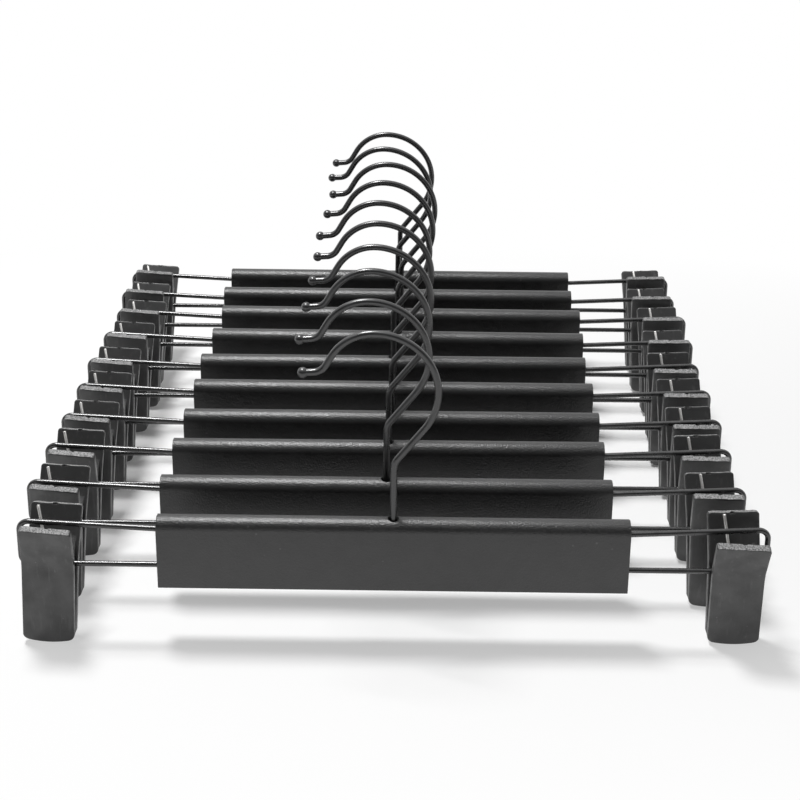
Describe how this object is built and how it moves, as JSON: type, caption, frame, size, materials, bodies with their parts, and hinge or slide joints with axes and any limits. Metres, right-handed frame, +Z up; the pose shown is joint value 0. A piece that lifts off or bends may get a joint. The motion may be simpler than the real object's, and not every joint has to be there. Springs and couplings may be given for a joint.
{
  "type": "clip hanger set",
  "caption": "Row of trouser hangers stood on their clips, each a flat wire loop with a round-topped bar, a swivel hook and sprung clips that slide along the lower rod.",
  "frame": {"origin": "middle of the row's floor outline, on the floor that the clip tips stand on", "axes": "+X along the bars to the right, hooks opening to -X; +Y from the front hanger to the back one; +Z up"},
  "size_m": [0.3246, 0.3142, 0.1467],
  "materials": {
    "frame": "matt black bar, with satin black wire at both ends",
    "hook": "satin black",
    "jaw": "matt dark grey moulding"
  },
  "bodies": {
    "hanger_01_frame": {"hanger_01_frame": "frame"},
    "hanger_01_hook": {"hanger_01_hook": "hook"},
    "hanger_01_left_front_jaw": {"hanger_01_left_front_jaw": "jaw"},
    "hanger_01_left_rear_jaw": {"hanger_01_left_rear_jaw": "jaw"},
    "hanger_01_right_front_jaw": {"hanger_01_right_front_jaw": "jaw"},
    "hanger_01_right_rear_jaw": {"hanger_01_right_rear_jaw": "jaw"},
    "hanger_02_frame": {"hanger_02_frame": "frame"},
    "hanger_02_hook": {"hanger_02_hook": "hook"},
    "hanger_02_left_front_jaw": {"hanger_02_left_front_jaw": "jaw"},
    "hanger_02_left_rear_jaw": {"hanger_02_left_rear_jaw": "jaw"},
    "hanger_02_right_front_jaw": {"hanger_02_right_front_jaw": "jaw"},
    "hanger_02_right_rear_jaw": {"hanger_02_right_rear_jaw": "jaw"},
    "hanger_03_frame": {"hanger_03_frame": "frame"},
    "hanger_03_hook": {"hanger_03_hook": "hook"},
    "hanger_03_left_front_jaw": {"hanger_03_left_front_jaw": "jaw"},
    "hanger_03_left_rear_jaw": {"hanger_03_left_rear_jaw": "jaw"},
    "hanger_03_right_front_jaw": {"hanger_03_right_front_jaw": "jaw"},
    "hanger_03_right_rear_jaw": {"hanger_03_right_rear_jaw": "jaw"},
    "hanger_04_frame": {"hanger_04_frame": "frame"},
    "hanger_04_hook": {"hanger_04_hook": "hook"},
    "hanger_04_left_front_jaw": {"hanger_04_left_front_jaw": "jaw"},
    "hanger_04_left_rear_jaw": {"hanger_04_left_rear_jaw": "jaw"},
    "hanger_04_right_front_jaw": {"hanger_04_right_front_jaw": "jaw"},
    "hanger_04_right_rear_jaw": {"hanger_04_right_rear_jaw": "jaw"},
    "hanger_05_frame": {"hanger_05_frame": "frame"},
    "hanger_05_hook": {"hanger_05_hook": "hook"},
    "hanger_05_left_front_jaw": {"hanger_05_left_front_jaw": "jaw"},
    "hanger_05_left_rear_jaw": {"hanger_05_left_rear_jaw": "jaw"},
    "hanger_05_right_front_jaw": {"hanger_05_right_front_jaw": "jaw"},
    "hanger_05_right_rear_jaw": {"hanger_05_right_rear_jaw": "jaw"},
    "hanger_06_frame": {"hanger_06_frame": "frame"},
    "hanger_06_hook": {"hanger_06_hook": "hook"},
    "hanger_06_left_front_jaw": {"hanger_06_left_front_jaw": "jaw"},
    "hanger_06_left_rear_jaw": {"hanger_06_left_rear_jaw": "jaw"},
    "hanger_06_right_front_jaw": {"hanger_06_right_front_jaw": "jaw"},
    "hanger_06_right_rear_jaw": {"hanger_06_right_rear_jaw": "jaw"},
    "hanger_07_frame": {"hanger_07_frame": "frame"},
    "hanger_07_hook": {"hanger_07_hook": "hook"},
    "hanger_07_left_front_jaw": {"hanger_07_left_front_jaw": "jaw"},
    "hanger_07_left_rear_jaw": {"hanger_07_left_rear_jaw": "jaw"},
    "hanger_07_right_front_jaw": {"hanger_07_right_front_jaw": "jaw"},
    "hanger_07_right_rear_jaw": {"hanger_07_right_rear_jaw": "jaw"},
    "hanger_08_frame": {"hanger_08_frame": "frame"},
    "hanger_08_hook": {"hanger_08_hook": "hook"},
    "hanger_08_left_front_jaw": {"hanger_08_left_front_jaw": "jaw"},
    "hanger_08_left_rear_jaw": {"hanger_08_left_rear_jaw": "jaw"},
    "hanger_08_right_front_jaw": {"hanger_08_right_front_jaw": "jaw"},
    "hanger_08_right_rear_jaw": {"hanger_08_right_rear_jaw": "jaw"},
    "hanger_09_frame": {"hanger_09_frame": "frame"},
    "hanger_09_hook": {"hanger_09_hook": "hook"},
    "hanger_09_left_front_jaw": {"hanger_09_left_front_jaw": "jaw"},
    "hanger_09_left_rear_jaw": {"hanger_09_left_rear_jaw": "jaw"},
    "hanger_09_right_front_jaw": {"hanger_09_right_front_jaw": "jaw"},
    "hanger_09_right_rear_jaw": {"hanger_09_right_rear_jaw": "jaw"},
    "hanger_10_frame": {"hanger_10_frame": "frame"},
    "hanger_10_hook": {"hanger_10_hook": "hook"},
    "hanger_10_left_front_jaw": {"hanger_10_left_front_jaw": "jaw"},
    "hanger_10_left_rear_jaw": {"hanger_10_left_rear_jaw": "jaw"},
    "hanger_10_right_front_jaw": {"hanger_10_right_front_jaw": "jaw"},
    "hanger_10_right_rear_jaw": {"hanger_10_right_rear_jaw": "jaw"}
  },
  "joints": [
    {"name": "hanger_01_hook_swivel", "type": "hinge", "parent": "hanger_01_frame", "child": "hanger_01_hook", "pos_m": [0.001, -0.14129, 0.06035], "axis": [0, 0, 1], "range_deg": [-35, 35]},
    {"name": "hanger_01_left_clip_slide", "type": "slide", "parent": "hanger_01_frame", "child": "hanger_01_left_front_jaw", "axis": [1, 0, 0], "range_m": [0, 0.034]},
    {"name": "hanger_01_left_jaw_hinge", "type": "hinge", "parent": "hanger_01_left_front_jaw", "child": "hanger_01_left_rear_jaw", "pos_m": [-0.1454, -0.14129, 0.03645], "axis": [1, 0, 0], "range_deg": [0, 17], "stiffness_Nm_per_rad": 0.3, "springref_deg": -20.05},
    {"name": "hanger_01_right_clip_slide", "type": "slide", "parent": "hanger_01_frame", "child": "hanger_01_right_front_jaw", "axis": [-1, 0, 0], "range_m": [0, 0.034]},
    {"name": "hanger_01_right_jaw_hinge", "type": "hinge", "parent": "hanger_01_right_front_jaw", "child": "hanger_01_right_rear_jaw", "pos_m": [0.1474, -0.14129, 0.03645], "axis": [1, 0, 0], "range_deg": [0, 13], "stiffness_Nm_per_rad": 0.3, "springref_deg": -20.05},
    {"name": "hanger_02_lift", "type": "slide", "parent": "hanger_01_frame", "child": "hanger_02_frame", "axis": [0, 0.0523, 0.9986], "range_m": [0, 0.16]},
    {"name": "hanger_02_hook_swivel", "type": "hinge", "parent": "hanger_02_frame", "child": "hanger_02_hook", "pos_m": [-0.0025, -0.10811, 0.06035], "axis": [0, 0, 1], "range_deg": [-35, 35]},
    {"name": "hanger_02_left_clip_slide", "type": "slide", "parent": "hanger_02_frame", "child": "hanger_02_left_front_jaw", "axis": [1, 0, 0], "range_m": [0, 0.034]},
    {"name": "hanger_02_left_jaw_hinge", "type": "hinge", "parent": "hanger_02_left_front_jaw", "child": "hanger_02_left_rear_jaw", "pos_m": [-0.1489, -0.10811, 0.03645], "axis": [1, 0, 0], "range_deg": [0, 17], "stiffness_Nm_per_rad": 0.3, "springref_deg": -20.05},
    {"name": "hanger_02_right_clip_slide", "type": "slide", "parent": "hanger_02_frame", "child": "hanger_02_right_front_jaw", "axis": [-1, 0, 0], "range_m": [0, 0.034]},
    {"name": "hanger_02_right_jaw_hinge", "type": "hinge", "parent": "hanger_02_right_front_jaw", "child": "hanger_02_right_rear_jaw", "pos_m": [0.1439, -0.10811, 0.03645], "axis": [1, 0, 0], "range_deg": [0, 17], "stiffness_Nm_per_rad": 0.3, "springref_deg": -20.05},
    {"name": "hanger_03_lift", "type": "slide", "parent": "hanger_01_frame", "child": "hanger_03_frame", "axis": [0, 0.0523, 0.9986], "range_m": [0, 0.16]},
    {"name": "hanger_03_hook_swivel", "type": "hinge", "parent": "hanger_03_frame", "child": "hanger_03_hook", "pos_m": [-0.002, -0.07355, 0.06033], "axis": [0, 0, 1], "range_deg": [-35, 35]},
    {"name": "hanger_03_left_clip_slide", "type": "slide", "parent": "hanger_03_frame", "child": "hanger_03_left_front_jaw", "axis": [1, 0.0052, 0], "range_m": [0, 0.034]},
    {"name": "hanger_03_left_jaw_hinge", "type": "hinge", "parent": "hanger_03_left_front_jaw", "child": "hanger_03_left_rear_jaw", "pos_m": [-0.1484, -0.07432, 0.03643], "axis": [1, 0.0052, 0], "range_deg": [0, 17], "stiffness_Nm_per_rad": 0.3, "springref_deg": -20.05},
    {"name": "hanger_03_right_clip_slide", "type": "slide", "parent": "hanger_03_frame", "child": "hanger_03_right_front_jaw", "axis": [-1, -0.0052, 0], "range_m": [0, 0.034]},
    {"name": "hanger_03_right_jaw_hinge", "type": "hinge", "parent": "hanger_03_right_front_jaw", "child": "hanger_03_right_rear_jaw", "pos_m": [0.1444, -0.07278, 0.03643], "axis": [1, 0.0052, 0], "range_deg": [0, 17], "stiffness_Nm_per_rad": 0.3, "springref_deg": -20.05},
    {"name": "hanger_04_lift", "type": "slide", "parent": "hanger_01_frame", "child": "hanger_04_frame", "axis": [0, 0.0523, 0.9986], "range_m": [0, 0.16]},
    {"name": "hanger_04_hook_swivel", "type": "hinge", "parent": "hanger_04_frame", "child": "hanger_04_hook", "pos_m": [-0.001, -0.04387, 0.06035], "axis": [0, 0, 1], "range_deg": [-35, 35]},
    {"name": "hanger_04_left_clip_slide", "type": "slide", "parent": "hanger_04_frame", "child": "hanger_04_left_front_jaw", "axis": [1, 0.0035, 0], "range_m": [0, 0.034]},
    {"name": "hanger_04_left_jaw_hinge", "type": "hinge", "parent": "hanger_04_left_front_jaw", "child": "hanger_04_left_rear_jaw", "pos_m": [-0.1474, -0.04438, 0.03645], "axis": [1, 0.0035, 0], "range_deg": [0, 17], "stiffness_Nm_per_rad": 0.3, "springref_deg": -20.05},
    {"name": "hanger_04_right_clip_slide", "type": "slide", "parent": "hanger_04_frame", "child": "hanger_04_right_front_jaw", "axis": [-1, -0.0035, 0], "range_m": [0, 0.034]},
    {"name": "hanger_04_right_jaw_hinge", "type": "hinge", "parent": "hanger_04_right_front_jaw", "child": "hanger_04_right_rear_jaw", "pos_m": [0.1454, -0.04336, 0.03645], "axis": [1, 0.0035, 0], "range_deg": [0, 17], "stiffness_Nm_per_rad": 0.3, "springref_deg": -20.05},
    {"name": "hanger_05_lift", "type": "slide", "parent": "hanger_01_frame", "child": "hanger_05_frame", "axis": [0, 0.0523, 0.9986], "range_m": [0, 0.16]},
    {"name": "hanger_05_hook_swivel", "type": "hinge", "parent": "hanger_05_frame", "child": "hanger_05_hook", "pos_m": [-0.0005, -0.01168, 0.06035], "axis": [0, 0, 1], "range_deg": [-35, 35]},
    {"name": "hanger_05_left_clip_slide", "type": "slide", "parent": "hanger_05_frame", "child": "hanger_05_left_front_jaw", "axis": [1, 0, 0], "range_m": [0, 0.034]},
    {"name": "hanger_05_left_jaw_hinge", "type": "hinge", "parent": "hanger_05_left_front_jaw", "child": "hanger_05_left_rear_jaw", "pos_m": [-0.1469, -0.01168, 0.03645], "axis": [1, 0, 0], "range_deg": [0, 17], "stiffness_Nm_per_rad": 0.3, "springref_deg": -20.05},
    {"name": "hanger_05_right_clip_slide", "type": "slide", "parent": "hanger_05_frame", "child": "hanger_05_right_front_jaw", "axis": [-1, 0, 0], "range_m": [0, 0.034]},
    {"name": "hanger_05_right_jaw_hinge", "type": "hinge", "parent": "hanger_05_right_front_jaw", "child": "hanger_05_right_rear_jaw", "pos_m": [0.1459, -0.01168, 0.03645], "axis": [1, 0, 0], "range_deg": [0, 17], "stiffness_Nm_per_rad": 0.3, "springref_deg": -20.05},
    {"name": "hanger_06_lift", "type": "slide", "parent": "hanger_01_frame", "child": "hanger_06_frame", "axis": [0, 0.0523, 0.9986], "range_m": [0, 0.16]},
    {"name": "hanger_06_hook_swivel", "type": "hinge", "parent": "hanger_06_frame", "child": "hanger_06_hook", "pos_m": [-0.001, 0.01869, 0.06033], "axis": [0, 0, 1], "range_deg": [-35, 35]},
    {"name": "hanger_06_left_clip_slide", "type": "slide", "parent": "hanger_06_frame", "child": "hanger_06_left_front_jaw", "axis": [1, 0.0035, 0], "range_m": [0, 0.034]},
    {"name": "hanger_06_left_jaw_hinge", "type": "hinge", "parent": "hanger_06_left_front_jaw", "child": "hanger_06_left_rear_jaw", "pos_m": [-0.1474, 0.01818, 0.03643], "axis": [1, 0.0035, 0], "range_deg": [0, 17], "stiffness_Nm_per_rad": 0.3, "springref_deg": -20.05},
    {"name": "hanger_06_right_clip_slide", "type": "slide", "parent": "hanger_06_frame", "child": "hanger_06_right_front_jaw", "axis": [-1, -0.0035, 0], "range_m": [0, 0.034]},
    {"name": "hanger_06_right_jaw_hinge", "type": "hinge", "parent": "hanger_06_right_front_jaw", "child": "hanger_06_right_rear_jaw", "pos_m": [0.1454, 0.0192, 0.03643], "axis": [1, 0.0035, 0], "range_deg": [0, 17], "stiffness_Nm_per_rad": 0.3, "springref_deg": -20.05},
    {"name": "hanger_07_lift", "type": "slide", "parent": "hanger_01_frame", "child": "hanger_07_frame", "axis": [0, 0.0523, 0.9986], "range_m": [0, 0.16]},
    {"name": "hanger_07_hook_swivel", "type": "hinge", "parent": "hanger_07_frame", "child": "hanger_07_hook", "pos_m": [0.001, 0.05032, 0.06034], "axis": [0, 0, 1], "range_deg": [-35, 35]},
    {"name": "hanger_07_left_clip_slide", "type": "slide", "parent": "hanger_07_frame", "child": "hanger_07_left_front_jaw", "axis": [1, -0.007, 0], "range_m": [0, 0.034]},
    {"name": "hanger_07_left_jaw_hinge", "type": "hinge", "parent": "hanger_07_left_front_jaw", "child": "hanger_07_left_rear_jaw", "pos_m": [-0.1454, 0.05135, 0.03644], "axis": [1, -0.007, 0], "range_deg": [0, 17], "stiffness_Nm_per_rad": 0.3, "springref_deg": -20.05},
    {"name": "hanger_07_right_clip_slide", "type": "slide", "parent": "hanger_07_frame", "child": "hanger_07_right_front_jaw", "axis": [-1, 0.007, 0], "range_m": [0, 0.034]},
    {"name": "hanger_07_right_jaw_hinge", "type": "hinge", "parent": "hanger_07_right_front_jaw", "child": "hanger_07_right_rear_jaw", "pos_m": [0.1474, 0.0493, 0.03644], "axis": [1, -0.007, 0], "range_deg": [0, 17], "stiffness_Nm_per_rad": 0.3, "springref_deg": -20.05},
    {"name": "hanger_08_lift", "type": "slide", "parent": "hanger_01_frame", "child": "hanger_08_frame", "axis": [0, 0.0523, 0.9986], "range_m": [0, 0.16]},
    {"name": "hanger_08_hook_swivel", "type": "hinge", "parent": "hanger_08_frame", "child": "hanger_08_hook", "pos_m": [0.0025, 0.08163, 0.06028], "axis": [0, 0, 1], "range_deg": [-35, 35]},
    {"name": "hanger_08_left_clip_slide", "type": "slide", "parent": "hanger_08_frame", "child": "hanger_08_left_front_jaw", "axis": [1, -0.0052, 0], "range_m": [0, 0.034]},
    {"name": "hanger_08_left_jaw_hinge", "type": "hinge", "parent": "hanger_08_left_front_jaw", "child": "hanger_08_left_rear_jaw", "pos_m": [-0.1439, 0.0824, 0.03638], "axis": [1, -0.0052, 0], "range_deg": [0, 17], "stiffness_Nm_per_rad": 0.3, "springref_deg": -20.05},
    {"name": "hanger_08_right_clip_slide", "type": "slide", "parent": "hanger_08_frame", "child": "hanger_08_right_front_jaw", "axis": [-1, 0.0052, 0], "range_m": [0, 0.034]},
    {"name": "hanger_08_right_jaw_hinge", "type": "hinge", "parent": "hanger_08_right_front_jaw", "child": "hanger_08_right_rear_jaw", "pos_m": [0.1489, 0.08087, 0.03638], "axis": [1, -0.0052, 0], "range_deg": [0, 17], "stiffness_Nm_per_rad": 0.3, "springref_deg": -20.05},
    {"name": "hanger_09_lift", "type": "slide", "parent": "hanger_01_frame", "child": "hanger_09_frame", "axis": [0, 0.0523, 0.9986], "range_m": [0, 0.16]},
    {"name": "hanger_09_hook_swivel", "type": "hinge", "parent": "hanger_09_frame", "child": "hanger_09_hook", "pos_m": [0.0005, 0.10966, 0.06017], "axis": [0, 0, 1], "range_deg": [-35, 35]},
    {"name": "hanger_09_left_clip_slide", "type": "slide", "parent": "hanger_09_frame", "child": "hanger_09_left_front_jaw", "axis": [1, 0, 0], "range_m": [0, 0.034]},
    {"name": "hanger_09_left_jaw_hinge", "type": "hinge", "parent": "hanger_09_left_front_jaw", "child": "hanger_09_left_rear_jaw", "pos_m": [-0.1459, 0.10966, 0.03627], "axis": [1, 0, 0], "range_deg": [0, 17], "stiffness_Nm_per_rad": 0.3, "springref_deg": -20.05},
    {"name": "hanger_09_right_clip_slide", "type": "slide", "parent": "hanger_09_frame", "child": "hanger_09_right_front_jaw", "axis": [-1, 0, 0], "range_m": [0, 0.034]},
    {"name": "hanger_09_right_jaw_hinge", "type": "hinge", "parent": "hanger_09_right_front_jaw", "child": "hanger_09_right_rear_jaw", "pos_m": [0.1469, 0.10966, 0.03627], "axis": [1, 0, 0], "range_deg": [0, 17], "stiffness_Nm_per_rad": 0.3, "springref_deg": -20.05},
    {"name": "hanger_10_lift", "type": "slide", "parent": "hanger_01_frame", "child": "hanger_10_frame", "axis": [0, 0.0523, 0.9986], "range_m": [0, 0.16]},
    {"name": "hanger_10_hook_swivel", "type": "hinge", "parent": "hanger_10_frame", "child": "hanger_10_hook", "pos_m": [0.0015, 0.13863, 0.06002], "axis": [0, 0, 1], "range_deg": [-35, 35]},
    {"name": "hanger_10_left_clip_slide", "type": "slide", "parent": "hanger_10_frame", "child": "hanger_10_left_front_jaw", "axis": [1, 0, 0], "range_m": [0, 0.034]},
    {"name": "hanger_10_left_jaw_hinge", "type": "hinge", "parent": "hanger_10_left_front_jaw", "child": "hanger_10_left_rear_jaw", "pos_m": [-0.1449, 0.13863, 0.03612], "axis": [1, 0, 0], "range_deg": [0, 17], "stiffness_Nm_per_rad": 0.3, "springref_deg": -20.05},
    {"name": "hanger_10_right_clip_slide", "type": "slide", "parent": "hanger_10_frame", "child": "hanger_10_right_front_jaw", "axis": [-1, 0, 0], "range_m": [0, 0.034]},
    {"name": "hanger_10_right_jaw_hinge", "type": "hinge", "parent": "hanger_10_right_front_jaw", "child": "hanger_10_right_rear_jaw", "pos_m": [0.1479, 0.13863, 0.03612], "axis": [1, 0, 0], "range_deg": [0, 17], "stiffness_Nm_per_rad": 0.3, "springref_deg": -20.05}
  ]
}
